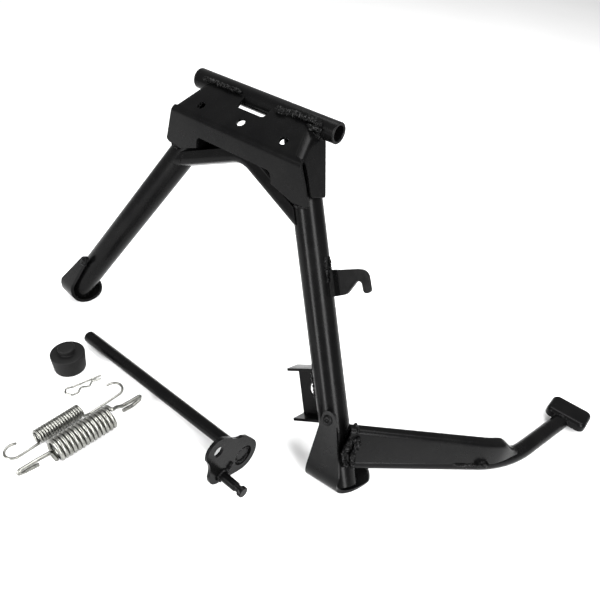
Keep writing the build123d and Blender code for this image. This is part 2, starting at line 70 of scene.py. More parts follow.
# Folded front plate
PLATE_SHEET = 3
PLATE_BEND = Vector((-40.3, -33.5))
PLATE_BEND_RADIUS = 9
PLATE_SEAT_ANGLE = math.radians(4)
PLATE_DROP = 75.5
PLATE_LOBE = 82
PLATE_WING = 102.5
PLATE_WING_RISE = 4
PLATE_WING_CUT = (4, 1.5)
PLATE_RELIEF = 0.8
PLATE_CORNERS = [0, 0.8, 2, 2, 2, 5, 2, 6]
HOLE_PITCH = 57
HOLE_RADIUS = 4.8
HOLE_FROM_BEND = 15.5
WINDOW_HALF = 19
WINDOW_FROM_BEND = 30
WINDOW_CORNERS = [3, 5, 0, 0]
ARCH_HALF = 52
ARCH_DROP = 54
ARCH_DEPTH = 12.5
ARCH_FLARE = 2

# Cheeks of the front plate
CHEEK_SPLAY = math.radians(24.2)
CHEEK_DROP = 62.5
CHEEK_BACK = 6.5
CHEEK_FOOT_BACK = 2
CHEEK_FOOT_WIDTH = 25
CHEEK_RELIEF = 9.5
CHEEK_TOP = 4
CHEEK_SHOULDER = -15
CHEEK_CORNERS = [0, 0, 0, 1.5, 3, 3, 0]
FOLD_RADIUS = 8
FOLD_SINK = 0.03
FOLD_TUCK = 1.3
FOLD_ARM = 2.2

# Arched channel between the legs
BRACE_APEX = 64.5
BRACE_SLOPE = math.radians(22.5)
BRACE_BEND = 34
BRACE_SHEET = 3
BRACE_HEIGHT = 14.5
BRACE_BACK_TOP = 47
BRACE_CORNER = 7

# Shoes
SHOE_SHEET = 4
SHOE_RADIUS = 25
SHOE_YAW = math.radians(5)
SHOE_LEAN = math.radians(24)
SHOE_CURL = math.radians(-16)
SHOE_FORWARD = 113.4
SHOE_TAIL = 19
SHOE_TOP_ROUND = 0.48
SHOE_SQUARE_PINCH = 0.2
SHOE_TOP_STEPS = 8
SHOE_LIMB_STEPS = 10
SHOE_CURL_STEPS = 40

# Each shoe, as a right-hand one: its height, the inner and outer edges of its strip at the
# top and at the foot, how fast and how far each edge moves outwards, and its plug's place
RIGHT_SHOE_HEIGHT = 62
RIGHT_SHOE_TOP = (-37.5, -23.5)
RIGHT_SHOE_FOOT = (-35.5, 2.2)
RIGHT_SHOE_FLARES = ((0, 0), (0.5, 19))
RIGHT_PLUG = (-30, 52.4)
LEFT_SHOE_HEIGHT = 51
LEFT_SHOE_TOP = (-38, -29)
LEFT_SHOE_FOOT = (-21, 5)
LEFT_SHOE_FLARES = ((-0.05, 2), (-0.05, 2))
LEFT_PLUG = (-33.5, 43)
PLUG_PROFILE = (
    (5.6, -1.0), (5.6, 0.4), (5.0, 1.4), (4.0, 2.2), (3.0, 2.5), (2.3, 2.3), (1.6, 1.5), (0.8, 1.2),
)

# Bracket of the rubber stop
BRACKET_SHEET = 3
BRACKET_FROM_FOOT = 64.3
BRACKET_HEIGHT = 57.9
BRACKET_REACH = 49.3
BRACKET_FLANGE = 23
BRACKET_HOLE = 9.2
BRACKET_HOLE_REACH = 28.3
BRACKET_HOLE_FROM_FOOT = 93.7
BRACKET_CORNER = 1.5
BRACKET_FRONT = 6

# Foot lever
BAR_RADIUS = 9
BAR_START = Vector((226, -108, -282.5))
BAR_BEND = Vector((351, 20.5, -301))
BAR_END = Vector((377.5, 139, -305.9))
BAR_BEND_RADIUS = 130
CHANNEL_SHEET = 2.5
CHANNEL_CORNER = 5.0
CHANNEL_NEAR = -8.0
CHANNEL_FAR = 190.0

# Section of the lever's channel: size at the leg, growth over its length, soft step near its
# far end, and the share of its length where that step starts
CHANNEL_HEIGHT = (52.5, -21.5, -17.0, 0.86)
CHANNEL_FOOT_WIDTH = (18.0, 0.0, -6.0, 0.84)
CHANNEL_TOP_WIDTH = (11.5, 2.5, -3.0, 0.84)
CHANNEL_EDGE_HEIGHT = (7.0, 0.0, 2.0, 0.8)

# Pedal pad
PAD_CENTRE = Vector((377.4, 138.6, 0))
PAD_HALF_WIDTH = 23.4
PAD_HALF_DEPTH = 15.4
PAD_CORNER = 7.5
PAD_HEIGHT = 20.5
PAD_SINK = 0.4
PAD_LOW_EDGE = 1.6
PAD_TOP_EDGE = 5.2
PAD_CROWN = 0.35
PAD_CROWN_INSET = 10.0
PAD_LOW_STEPS = 6
PAD_TOP_STEPS = 8

# Pivot shaft with its spring plate and stud: profiles are pairs of radius and height
SHAFT_NEAR = Vector((136.7, -170.9, FLOOR + 20.2))
SHAFT_FAR = Vector((-138.2, -164.8, FLOOR + 7.5))
SHAFT_RADIUS = 7.5
SHAFT_TIP = ((5.2, -5), (6.6, -4.6), (7.3, -3.6), (SHAFT_RADIUS, -2.2))
SHAFT_SHORT_OF_PLATE = 2
SPRING_PLATE_SHEET = 3.6
STUD_PLACE = (-31, -3)
STUD_PROFILE = (
    (5.0, -0.5), (5.0, 21.5), (4.6, 22), (3.9, 22.2), (3.9, 26.6), (5.4, 26.9), (5.8, 27.4),
    (5.8, 31.4), (5.4, 32),
)

# Outer return spring: its hooks are points from the floor up
OUTER_RADIUS = 14
OUTER_WIRE = 4.65
OUTER_TURNS = 14.5
OUTER_START = (-15.3, -297.8)
OUTER_END = (-10.4, -228.1)
OUTER_NEAR_HOOK = (
    (-15, -316.2, 10), (-15, -331, 13.6), (-15, -338, 16.5), (-15, -335.7, 19.8),
    (-15, -314.4, 17.7), (-15.3, -300.8, 15),
)
OUTER_NEAR_BENDS = [0, 3, 1.6, 1.6, 4, 3, 1.5, 0]
OUTER_FAR_HOOK = (
    (-11.5, -221, 21), (-11.5, -213, 16.6), (-11.5, -199.8, 14.6), (-11.5, -187.9, 13.2),
    (-11.5, -189.3, 8), (-11.5, -199.3, 6.2), (-11.5, -212.5, 8.5),
)
OUTER_FAR_BENDS = [0, 1.5, 3, 4, 5, 1.6, 1.6, 3, 0]

# Inner return spring: each hook is an arc's centre, radius, first turn and last turn
INNER_RADIUS = 8.6
INNER_WIRE = 2.8
INNER_TURNS = 17.75
INNER_START = (-48.5, -298.1)
INNER_END = (-46.4, -245.7)
INNER_NEAR_HOOK = (-55.6, -321.8, 9.8, 135, 360)
INNER_NEAR_BENDS = [0, 1.5, 0]
INNER_FAR_HOOK = (-51.2, -197.4, 10.8, 0, 185)
INNER_FAR_BEND = (-40.6, -238)
INNER_FAR_BENDS = [0, 1.5, 4, 0]
INNER_HOOK_STEPS = 28
COIL_STEPS = 40
COIL_LEAD = 3
WIRE_BEND_STEPS = 8

# Rubber stop
STOP_PLACE = Vector((-120.4, -208.5, FLOOR))
STOP_PROFILE = (
    (17.6, 0), (18.3, 0.5), (18.6, 1.4), (19.4, 12), (20.3, 22.5), (20.2, 23.6), (19.5, 24.4),
    (18.4, 24.7), (9.0, 24.7), (8.6, 25.4), (8.6, 27.8), (9.8, 28.2), (10.2, 29.2),
    (10.1, 32.2), (9.3, 33.2), (7.6, 33.7), (3.0, 33.9),
)

# Weld metal, in millimetres and shares of the bead's radius
BEAD_STEP = 0.7
BEAD_PITCH = 2.6
BEAD_RIPPLE = 0.18
BEAD_LUMP = 0.55
BEAD_LUMP_SCALE = 0.33
BEAD_MEAN = 0.92
BEAD_END = 0.15
BEAD_BEND = 4
BLOB_LUMP = 0.45
BLOB_FINE = 0.4
BLOB_LUMP_SCALE = 1.7
BLOB_FINE_SCALE = 4.1

# Finishes. Colours and roughnesses run from one end of a noise to the other, and the parts
# of the noise that they run between are shares. A noise has its cycles per metre and its
# detail, a bump its strength and its height in metres, and an edge its radius in metres.
MIDDLE_SHARES = (0.3, 0.7)
WIDE_SHARES = (0.2, 0.8)
PAINT_COLOURS = ((0.0010, 0.0010, 0.0011, 1), (0.0021, 0.0021, 0.0021, 1))
PAINT_ROUGHNESS = (0.20, 0.30)
PAINT_SPECULAR = 0.062
PAINT_MOTTLE = (35.0, 4.0)
PAINT_SHEEN = (90.0, 5.0)
PAINT_SHEEN_SHARES = (0.25, 0.75)
PAINT_WAVES = (160.0, 2.0)
PAINT_WAVES_BUMP = (0.12, 0.0006)
PAINT_PEEL = (900.0, 2.0)
PAINT_PEEL_BUMP = (0.10, 0.0002)
PAINT_EDGE = 0.0007
ZINC_COLOURS = ((0.11, 0.11, 0.10, 1), (0.25, 0.25, 0.232, 1))
ZINC_ROUGHNESS = (0.24, 0.40)
ZINC_MOTTLE = (300.0, 4.0)
ZINC_GRAIN = (1800.0, 2.0)
ZINC_GRAIN_BUMP = (0.15, 0.0001)
RUBBER_COLOURS = ((0.0025, 0.0025, 0.0025, 1), (0.005, 0.005, 0.005, 1))
RUBBER_ROUGHNESS = (0.50, 0.68)
RUBBER_SPECULAR = 0.1
RUBBER_MOTTLE = (60.0, 5.0)
RUBBER_GRAIN = (1500.0, 3.0)
RUBBER_GRAIN_BUMP = (0.25, 0.0003)
RUBBER_EDGE = 0.0008
FLOOR_COLOURS = ((0.70, 0.70, 0.70, 1), (0.72, 0.72, 0.72, 1))
FLOOR_ROUGHNESS = 0.9
FLOOR_SPECULAR = 0.1
FLOOR_MOTTLE = (3.0, 3.0)

# Floor and light, in metres and watts. Each soft box has its name, the way that it lies in,
# its distance, its two sizes and its power.
FLOOR_HALF = 12.0
FLOOR_CLEARANCE = 0.0002
WORLD_LIGHT = 0.72
LEG_BOXES_AIM = 200
LEFT_BOX = ("left_box", (-0.151, -0.979, 0.135), 1.4, (0.35, 1.6), 48)
RIGHT_BOX = ("right_box", (0.789, -0.387, 0.477), 1.4, (0.42, 1.6), 52)
TOP_BOX = ("top_box", (0.1, 0.35, 0.93), 1.6, (0.7, 2.2), 55)

# Reach of the cutters past what they cut, and steps of the drawn curves
CUT_REACH = 150
SHEET_CUT_REACH = 120
HOLE_CUT_REACH = 10
BRACE_CUT_REACH = 70
LEG_CUT_REACH = 20
LEG_TRIM_HALF = 99
LEG_TRIM_DEPTH = 60
BRACKET_CUT_REACH = 40
SPRING_PLATE_HALF = 90
FOLD_STEPS = 10
BEND_STEPS = 24
BAR_STEPS = 90
CHANNEL_STEPS = 70


def spot(across, behind, above):
    """A point given across, behind and above the pivot in the leaning stand."""
    return Vector((
        across,
        behind * math.cos(LEAN) + above * math.sin(LEAN),
        above * math.cos(LEAN) - behind * math.sin(LEAN),
    ))


SIDE = Vector((1, 0, 0))
BACK = spot(0, 1, 0)
UP = spot(0, 0, 1)
LEG_DOWN = spot(math.sin(LEG_SPLAY), 0, -math.cos(LEG_SPLAY))
LEG_OUT = spot(math.cos(LEG_SPLAY), 0, math.sin(LEG_SPLAY))
LEG_START = spot(LEG_SPREAD, -LEG_FORWARD, 0)
LEG_FOOT = LEG_START + LEG_DOWN * LEG_LENGTH


def mirrored(point):
    """The same point on the left of the stand."""
    return Vector((-point.x, point.y, point.z))


def plane(origin, x_dir, z_dir):
    """A frame from an origin, an x direction and a normal."""
    z_axis = Vector(z_dir).normalized()
    x_axis = Vector(x_dir) - z_axis * Vector(x_dir).dot(z_axis)
    x_axis.normalize()
    matrix = Matrix((x_axis, z_axis.cross(x_axis), z_axis)).transposed().to_4x4()
    matrix.translation = Vector(origin)
    return matrix


def side_plane(across):
    """Its x is behind, its y is above and its normal is along the pivot."""
    return plane(spot(across, 0, 0), BACK, SIDE)


def front_plane(behind):
    """Its x is across, its y is above and its normal is forward."""
    return plane(spot(0, behind, 0), SIDE, -BACK)


def leg_across(above):
    """Distance of a leg's centre line from the middle, at a height in the stand."""
    return LEG_SPREAD - above * math.tan(LEG_SPLAY)


def rounded(points, radii, closed=True, steps=6):
    """A line through the points with its corners rounded."""
    points = [Vector(p) for p in points]
    count = len(points)
    line = []
    for i, point in enumerate(points):
        radius = radii[i] if isinstance(radii, (list, tuple)) else radii
        if radius == 0 or (not closed and i in (0, count - 1)):
            line.append(point)
            continue
        before = (points[i - 1] - point).normalized()
        after = (points[(i + 1) % count] - point).normalized()
        half = before.angle(after) / 2
        reach = radius / math.tan(half)
        centre = point + (before + after).normalized() * (radius / math.sin(half))
        first = point + before * reach - centre
        last = point + after * reach - centre
        sweep = math.pi - 2 * half
        for step in range(steps + 1):
            share = step / steps
            arc = first * math.sin((1 - share) * sweep) + last * math.sin(share * sweep)
            line.append(centre + arc / math.sin(sweep))
    return line


def circle(radius, x=0, y=0, steps=48):
    """A round outline."""
    turns = [2 * math.pi * i / steps for i in range(steps)]
    return [Vector((x + radius * math.cos(t), y + radius * math.sin(t))) for t in turns]


def square(half):
    """A square outline."""
    return [Vector(p) for p in ((-half, -half), (half, -half), (half, half), (-half, half))]


def band(line, thickness):
    """A closed outline: the line, and the line moved to its left by the thickness."""
    moved = []
    for i, point in enumerate(line):
        way_in = (point - line[max(i - 1, 0)]).normalized()
        way_out = (line[min(i + 1, len(line) - 1)] - point).normalized()
        way_in = way_out if i == 0 else way_in
        way_out = way_in if i == len(line) - 1 else way_out
        left_in = Vector((-way_in.y, way_in.x))
        left_out = Vector((-way_out.y, way_out.x))
        middle = (left_in + left_out).normalized()
        moved.append(point + middle * (thickness / middle.dot(left_in)))
    return list(line) + moved[::-1]


def new_piece(name, bm):
    """An object from mesh data in millimetres."""
    bmesh.ops.recalc_face_normals(bm, faces=bm.faces)
    bmesh.ops.scale(bm, vec=(MM, MM, MM), verts=bm.verts)
    mesh = bpy.data.meshes.new(name)
    bm.to_mesh(mesh)
    bm.free()
    piece = bpy.data.objects.new(name, mesh)
    bpy.context.scene.collection.objects.link(piece)
    return piece


def lofted(name, rings, loop=False):
    """A closed solid through rings of as many points each."""
    bm = bmesh.new()
    rows = [[bm.verts.new(point) for point in ring] for ring in rings]
    pairs = list(zip(rows, rows[1:]))
    if loop:
        pairs.append((rows[-1], rows[0]))
    for low, high in pairs:
        for i in range(len(low)):
            j = (i + 1) % len(low)
            bm.faces.new((low[i], low[j], high[j], high[i]))
    if not loop:
        bm.faces.new(rows[0][::-1])
        bm.faces.new(rows[-1])
    return new_piece(name, bm)


def prism(name, outline, place, start, end):
    """A straight solid on an outline, between two heights over its plane."""
    rings = [[place @ Vector((p.x, p.y, height)) for p in outline] for height in (start, end)]
    return lofted(name, rings)


def rod(name, start, way, radius, low, high):
    """A plain cylinder, used as a cutter."""
    return prism(name, circle(radius), plane(start, way.orthogonal(), way), low, high)


def turned(name, place, profile, steps=64):
    """A solid turned about the z of its plane, from pairs of radius and height."""
    rings = []
    for radius, height in profile:
        rings.append([place @ Vector((p.x, p.y, height)) for p in circle(radius, steps=steps)])
    return lofted(name, rings)


def combine(piece, tool, how):
    """Cut, keep or join with a second solid, which goes away."""
    modifier = piece.modifiers.new("combine", "BOOLEAN")
    modifier.operation = how
    modifier.object = tool
    modifier.solver = "EXACT"
    apply_modifiers(piece)
    bpy.data.objects.remove(tool)
    return piece


def apply_modifiers(piece):
    """Write a piece's modifiers into its mesh."""
    bpy.context.view_layer.update()
    result = piece.evaluated_get(bpy.context.evaluated_depsgraph_get())
    mesh = bpy.data.meshes.new_from_object(result)
    piece.modifiers.clear()
    piece.data = mesh


def dress_piece(piece, material, replaced=(), sharp=35):
    """Finish a piece: its shading, its material and its body."""
    bm = bmesh.new()
    bm.from_mesh(piece.data)
    bmesh.ops.remove_doubles(bm, verts=bm.verts, dist=0.00001)
    bmesh.ops.dissolve_degenerate(bm, edges=bm.edges, dist=0.00001)
    bm.to_mesh(piece.data)
    bm.free()
    piece.data.shade_smooth()
    piece.data.set_sharp_from_angle(angle=math.radians(sharp))
    piece.data.materials.clear()
    piece.data.materials.append(material)
    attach(piece, "root")
    if replaced:
        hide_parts(*replaced)
    return piece


def mirror_piece(piece, name):
    """A copy of a piece on the left of the stand."""
    mesh = piece.data.copy()
    mesh.transform(Matrix.Scale(-1, 4, SIDE))
    mesh.flip_normals()
    copy = bpy.data.objects.new(name, mesh)
    bpy.context.scene.collection.objects.link(copy)
    return copy


def leg_cutter(mirror=False, radius=LEG_RADIUS + GAP):
    """The outside of a leg, as a cutter."""
    flip = mirrored if mirror else Vector
    return rod("leg_cutter", flip(LEG_START), flip(LEG_DOWN), radius, -LEG_CUT_REACH, LEG_LENGTH)


def tube_cutter():
    """The outside of the pivot tube, as a cutter."""
    return rod("tube_cutter", Vector(), SIDE, TUBE_RADIUS + GAP, -CUT_REACH, CUT_REACH)


# Lines of the front plate's side view
FACET_TOP = Vector((-math.cos(PLATE_SEAT_ANGLE), math.sin(PLATE_SEAT_ANGLE))) * TUBE_RADIUS
FACET_UP = (FACET_TOP - PLATE_BEND).normalized()
FACET_OUT = Vector((-FACET_UP.y, FACET_UP.x))
FACET_LENGTH = (FACET_TOP - PLATE_BEND).length
PLATE_SEAT = Vector((-LEG_FORWARD - LEG_RADIUS - GAP, -PLATE_DROP)) - PLATE_BEND
SEAT_ANGLE = math.atan2(PLATE_SEAT.y, PLATE_SEAT.x) - math.asin(PLATE_SHEET / PLATE_SEAT.length)
SEAT_DOWN = Vector((math.cos(SEAT_ANGLE), math.sin(SEAT_ANGLE)))
PLATE_FOOT = PLATE_BEND + SEAT_DOWN * (PLATE_SEAT.length + PLATE_SHEET)
BEND_SETBACK = PLATE_BEND_RADIUS * math.tan((math.pi - FACET_UP.angle(SEAT_DOWN)) / 2)
FOLD_START = PLATE_BEND + FACET_UP * BEND_SETBACK

# Lines of the cheeks and their folds
FACET_NORMAL = spot(0, FACET_OUT.x, FACET_OUT.y)
CHEEK_NORMAL = spot(math.cos(CHEEK_SPLAY), 0, math.sin(CHEEK_SPLAY))
CHEEK_FOOT = (
    leg_across(-CHEEK_DROP)
    + (LEG_RADIUS + GAP) / math.cos(LEG_SPLAY)
    + PLATE_SHEET / math.cos(CHEEK_SPLAY)
)
FOLD_WAY = FACET_NORMAL.cross(CHEEK_NORMAL).normalized()
FACET_ARM = FACET_NORMAL.cross(FOLD_WAY)
FOLD_TURN = FACET_NORMAL.angle(CHEEK_NORMAL)
FOLD_SETBACK = FOLD_RADIUS * math.tan(FOLD_TURN / 2)


def cheek_across(above):
    """Outer face of the right cheek at a height in the stand."""
    return CHEEK_FOOT - (above + CHEEK_DROP) * math.tan(CHEEK_SPLAY)


def front_sheet(name):
    """The plate's two facets, with their outline, holes and window."""
    tuck = FOLD_TUCK * FOLD_SETBACK
    side = [FACET_TOP + FACET_UP * PLATE_SHEET, PLATE_BEND, PLATE_FOOT]
    line = rounded(side, PLATE_BEND_RADIUS, False, FOLD_STEPS)
    sheet = prism(name, band(line, PLATE_SHEET), side_plane(0), -2 * PLATE_WING, 2 * PLATE_WING)
    top = FACET_TOP.y + PLATE_SHEET
    relief = FOLD_START.y - PLATE_RELIEF
    right = [
        (cheek_across(top) - tuck, top),
        (cheek_across(relief) - tuck, relief),
        (cheek_across(relief), relief),
        (PLATE_WING, PLATE_WING_RISE - PLATE_DROP),
        (PLATE_WING - PLATE_WING_CUT[0], PLATE_WING_CUT[1] - PLATE_DROP),
        (PLATE_LOBE, -PLATE_DROP),
        (ARCH_HALF + ARCH_FLARE, -ARCH_DROP - ARCH_DEPTH),
        (ARCH_HALF, -ARCH_DROP),
    ]
    left = [(-x, y) for x, y in right[::-1]]
    outline = rounded(right + left, PLATE_CORNERS + PLATE_CORNERS[::-1])
    keep = prism("outline", outline, front_plane(0), -SHEET_CUT_REACH, SHEET_CUT_REACH)
    combine(sheet, keep, "INTERSECT")
    combine(sheet, tube_cutter(), "DIFFERENCE")
    facet = plane(spot(0, PLATE_BEND.x, PLATE_BEND.y), SIDE, FACET_NORMAL)
    for place in (-HOLE_PITCH, 0, HOLE_PITCH):
        hole = circle(HOLE_RADIUS, place, HOLE_FROM_BEND)
        combine(sheet, prism("hole", hole, facet, -HOLE_CUT_REACH, HOLE_CUT_REACH), "DIFFERENCE")
    corners = [
        (-WINDOW_HALF, WINDOW_FROM_BEND),
        (WINDOW_HALF, WINDOW_FROM_BEND),
        (WINDOW_HALF, WINDOW_FROM_BEND + FACET_LENGTH),
        (-WINDOW_HALF, WINDOW_FROM_BEND + FACET_LENGTH),
    ]
    window = rounded(corners, WINDOW_CORNERS)
    cutter = prism("window", window, facet, -HOLE_CUT_REACH, HOLE_CUT_REACH)
    return combine(sheet, cutter, "DIFFERENCE")


def cheek(name):
    """The right cheek with its rounded fold, coped under the pivot tube."""
    place = plane(spot(cheek_across(PLATE_BEND.y), PLATE_BEND.x, PLATE_BEND.y), FACET_ARM, FOLD_WAY)
    reach = 2 * CHEEK_DROP
    tail = Vector((-math.cos(FOLD_TURN) * reach, -math.sin(FOLD_TURN) * reach))
    arm = (FOLD_ARM * FOLD_SETBACK, -FOLD_SINK)
    line = rounded([arm, (0, -FOLD_SINK), tail], FOLD_RADIUS, False, FOLD_STEPS)
    piece = prism(name, band(line, PLATE_SHEET), place, -reach, reach)
    outline = rounded(
        [
            (CHEEK_BACK, CHEEK_TOP),
            FACET_TOP + FACET_OUT * PLATE_SHEET,
            FOLD_START + FACET_OUT * PLATE_SHEET,
            FOLD_START - FACET_OUT * CHEEK_RELIEF,
            (CHEEK_FOOT_BACK - CHEEK_FOOT_WIDTH, -CHEEK_DROP),
            (CHEEK_FOOT_BACK, -CHEEK_DROP),
            (CHEEK_BACK, CHEEK_SHOULDER),
        ],
        CHEEK_CORNERS,
    )
    combine(piece, prism("outline", outline, side_plane(0), 0, 3 * CHEEK_FOOT), "INTERSECT")
    return combine(piece, tube_cutter(), "DIFFERENCE")


def brace(name):
    """The arched channel that ties the legs, trimmed level at the back and on the legs."""
    corner = BRACE_APEX - BRACE_BEND * (1 / math.cos(BRACE_SLOPE) - 1)
    reach = leg_across(-2 * BRACE_APEX)
    end = corner + reach * math.tan(BRACE_SLOPE)
    arch = rounded([(-reach, -end), (0, -corner), (reach, -end)], BRACE_BEND, False, BEND_STEPS)
    back = LEG_RADIUS - LEG_FORWARD
    front = -LEG_FORWARD - LEG_RADIUS
    section = rounded(
        [(front, BRACE_HEIGHT), (front, 0), (back, 0), (back, 2 * BRACE_APEX)], BRACE_CORNER, False
    )
    section = band(section, BRACE_SHEET)
    rings = []
    for i, point in enumerate(arch):
        way = (arch[min(i + 1, len(arch) - 1)] - arch[max(i - 1, 0)]).normalized()
        normal = Vector((-way.y, way.x))
        rings.append([
            spot(point.x + normal.x * p.y, p.x, point.y + normal.y * p.y) for p in section
        ])
    piece = lofted(name, rings)
    inset = LEG_RADIUS / 2
    trim = [
        Vector((leg_across(-end) - inset, -end)),
        Vector((leg_across(-BRACE_BACK_TOP) - inset, -BRACE_BACK_TOP)),
        Vector((inset - leg_across(-BRACE_BACK_TOP), -BRACE_BACK_TOP)),
        Vector((inset - leg_across(-end), -end)),
    ]
    keep = prism("trim", trim, front_plane(0), -BRACE_CUT_REACH, BRACE_CUT_REACH)
    combine(piece, keep, "INTERSECT")
    combine(piece, leg_cutter(), "DIFFERENCE")
    return combine(piece, leg_cutter(mirror=True), "DIFFERENCE")


# Frame of the right shoe's bend
SHOE_WAY = Vector((math.cos(SHOE_YAW), math.sin(SHOE_YAW), 0))
SHOE_BACK = Vector((-math.sin(SHOE_YAW), math.cos(SHOE_YAW), 0))
LIMB_FRONT = Vector((0, 0, math.sin(SHOE_LEAN))) - SHOE_BACK * math.cos(SHOE_LEAN)
SHOE_CENTRE = Vector((LEG_FOOT.x, -SHOE_FORWARD, FLOOR + SHOE_RADIUS))


def shoe(name, height, top, foot, flares):
    """A right-hand shoe: a strip whose two edges run down the limb and round the curl.

    The top and the foot give the strip's inner and outer edges from the leg's end, and the
    flares say how fast and how far each edge moves outwards along the curl.
    """
    foot_left, foot_right = foot
    top_right, top_width = top[1], top[1] - top[0]
    stations = []
    top_round = SHOE_TOP_ROUND * top_width
    limb = []
    for i in range(SHOE_TOP_STEPS + 1):
        limb.append(top_round * (1 - math.cos(math.pi / 2 * i / SHOE_TOP_STEPS)))
    for i in range(1, SHOE_LIMB_STEPS + 1):
        limb.append(top_round + (height - top_round) * i / SHOE_LIMB_STEPS)
    for down in limb:
        share = down / height
        right = top_right + (foot_right - top_right) * share
        left = top_right - top_width + (foot_left - top_right + top_width) * share
        pinch = max(0.0, 1 - down / top_round)
        pinch = top_round * (1 - math.sqrt(max(0.0, 1 - pinch * pinch)))
        normal = Vector((-math.cos(SHOE_LEAN), math.sin(SHOE_LEAN)))
        rise = Vector((normal.y, -normal.x)) * (height - down)
        stations.append((normal * SHOE_RADIUS + rise, normal, left + pinch, right - pinch))
    sweep = math.pi + SHOE_LEAN + SHOE_CURL
    front = -SHOE_RADIUS * math.cos(SHOE_LEAN)
    tail_side = flares[0][0] + flares[1][0]
    for step in range(1, SHOE_CURL_STEPS + 1):
        angle = math.pi - SHOE_LEAN + sweep * step / SHOE_CURL_STEPS
        normal = Vector((math.cos(angle), math.sin(angle)))
        depth = max(0.0, normal.x * SHOE_RADIUS - front)
        left_over = SHOE_RADIUS * sweep * (1 - step / SHOE_CURL_STEPS)
        pinch = max(0.0, 1 - left_over / SHOE_TAIL)
        pinch = SHOE_TAIL * (1 - math.sqrt(max(0.0, 1 - pinch * pinch)))
        moves = [math.copysign(min(abs(rate) * depth, most), rate) for rate, most in flares]
        left = foot_left + moves[0] + (pinch if tail_side < 0 else SHOE_SQUARE_PINCH * pinch)
        right = foot_right + moves[1] - (pinch if tail_side > 0 else SHOE_SQUARE_PINCH * pinch)
        stations.append((normal * SHOE_RADIUS, normal, left, right))
    rings = []
    for point, normal, left, right in stations:
        inner = point - normal * SHOE_SHEET
        ring = []
        for flat, along in ((point, left), (point, right), (inner, right), (inner, left)):
            rise = Vector((0, 0, flat.y))
            ring.append(SHOE_CENTRE + SHOE_BACK * flat.x + rise + SHOE_WAY * along)
        rings.append(ring)
    return lofted(name, rings)


def leg(name):
    """The right leg: a tube coped under the pivot tube, cut square and sunk into its shoe."""
    piece = rod(name, LEG_START, LEG_DOWN, LEG_RADIUS, -LEG_CUT_REACH, LEG_LENGTH)
    past = LEG_CUT_REACH + 10
    bore = rod("bore", LEG_START, LEG_DOWN, LEG_RADIUS - LEG_WALL, -past, LEG_LENGTH + 10)
    combine(piece, bore, "DIFFERENCE")
    over = plane(spot(LEG_SPREAD, 0, -LEG_TOP_DROP), SIDE, UP)
    combine(piece, prism("top", square(LEG_TRIM_HALF), over, 0, LEG_TRIM_DEPTH), "DIFFERENCE")
    combine(piece, tube_cutter(), "DIFFERENCE")
    under = plane(SHOE_CENTRE, SIDE, (0, 0, -1))
    trim = prism("trim", square(LEG_TRIM_HALF), under, 0, LEG_TRIM_DEPTH)
    radius = SHOE_RADIUS - SHOE_SHEET - GAP
    combine(trim, rod("inside", SHOE_CENTRE, SHOE_WAY, radius, -CUT_REACH, CUT_REACH), "DIFFERENCE")
    return combine(piece, trim, "DIFFERENCE")


def plug(name, across, up):
    """A dimpled plug weld on the front of a right-hand shoe."""
    front = plane(SHOE_CENTRE, SHOE_WAY, LIMB_FRONT)
    place = front @ Matrix.Translation((across, up, SHOE_RADIUS))
    return turned(name, place, PLUG_PROFILE, steps=32)


def bracket(name):
    """A channel with its web behind the right leg and a hole for the stop's neck."""
    web = LEG_RADIUS + GAP
    lip = BRACKET_FLANGE - web - BRACKET_SHEET
    top = -BRACKET_FROM_FOOT - BRACKET_HEIGHT + BRACKET_SHEET
    low = -BRACKET_FROM_FOOT - BRACKET_SHEET
    line = rounded([(lip, top), (-web, top), (-web, low), (lip, low)], BRACKET_CORNER, False)
    place = plane(LEG_FOOT, -BACK, LEG_OUT)
    piece = prism(name, band(line, BRACKET_SHEET), place, -BRACKET_REACH, BRACKET_FRONT)
    combine(piece, leg_cutter(), "DIFFERENCE")
    face = plane(LEG_FOOT, LEG_OUT, -BACK)
    hole = circle(BRACKET_HOLE, -BRACKET_HOLE_REACH, BRACKET_HOLE_FROM_FOOT)
    return combine(piece, prism("hole", hole, face, -BRACKET_CUT_REACH, 0), "DIFFERENCE")


def bar_line():
    """Centre line of the lever's bar, bent once."""
    return rounded([BAR_START, BAR_BEND, BAR_END], BAR_BEND_RADIUS, False, BEND_STEPS)


def along_line(line, start, end, count):
    """Points and directions spread evenly on a stretch of a line."""
    lengths = [0.0]
    for a, b in zip(line, line[1:]):
        lengths.append(lengths[-1] + (b - a).length)
    found = []
    for i in range(count):
        want = start + (end - start) * i / (count - 1)
        k = max(j for j in range(len(line) - 1) if j == 0 or lengths[j] <= want)
        way = (line[k + 1] - line[k]).normalized()
        found.append((line[k] + way * (want - lengths[k]), way, want))
    return found


def bar(name):
    """The lever's round bar, from the right leg to under the pad."""
    line = bar_line()
    total = sum((b - a).length for a, b in zip(line, line[1:]))
    rings = []
    for point, way, _ in along_line(line, 0, total, BAR_STEPS):
        place = plane(point, Vector((0, 0, 1)), way)
        rings.append([place @ p.to_3d() for p in circle(BAR_RADIUS, steps=32)])
    return combine(lofted(name, rings), leg_cutter(), "DIFFERENCE")


def smooth(share):
    """A soft step from 0 to 1."""
    share = min(max(share, 0.0), 1.0)
    return share * share * (3 - 2 * share)


def along_channel(size, share):
    """A size of the channel's section at a share of its length."""
    start, growth, step, after = size
    return start + growth * share + step * smooth((share - after) / (1 - after))


